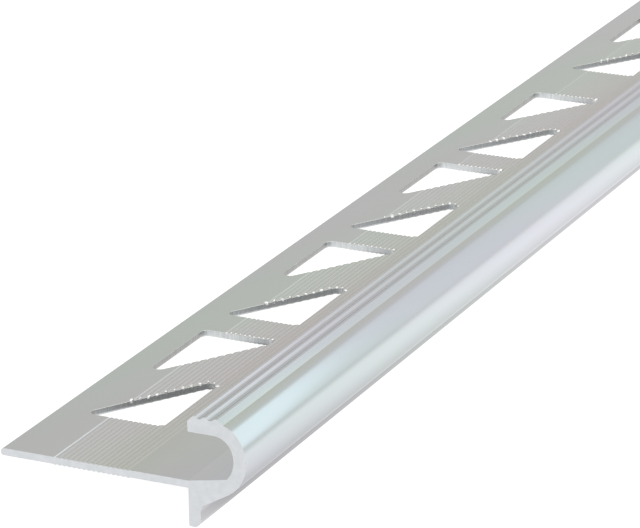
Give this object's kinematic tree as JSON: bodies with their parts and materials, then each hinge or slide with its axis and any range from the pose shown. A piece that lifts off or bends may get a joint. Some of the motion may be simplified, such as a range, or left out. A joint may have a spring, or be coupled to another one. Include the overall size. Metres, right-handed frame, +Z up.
{
  "type": "stair nosing",
  "caption": "Straight bar with a flat punched leg, a hollow half-round nose with tread ribs that is open towards the tile, and a drip edge.",
  "frame": {"origin": "on the floor below the middle of the bounding box, as the bar lies at rest on the leg's outer edge and the drip edge", "axes": "+Y along the bar, +X across it towards the nose, +Z up; the leg slopes up towards the nose by 11 degrees"},
  "size_m": [0.0376, 1, 0.0173],
  "materials": {
    "aluminium": "natural anodised, satin"
  },
  "bodies": {
    "root": {"nosing_profile": "aluminium"}
  },
  "joints": []
}
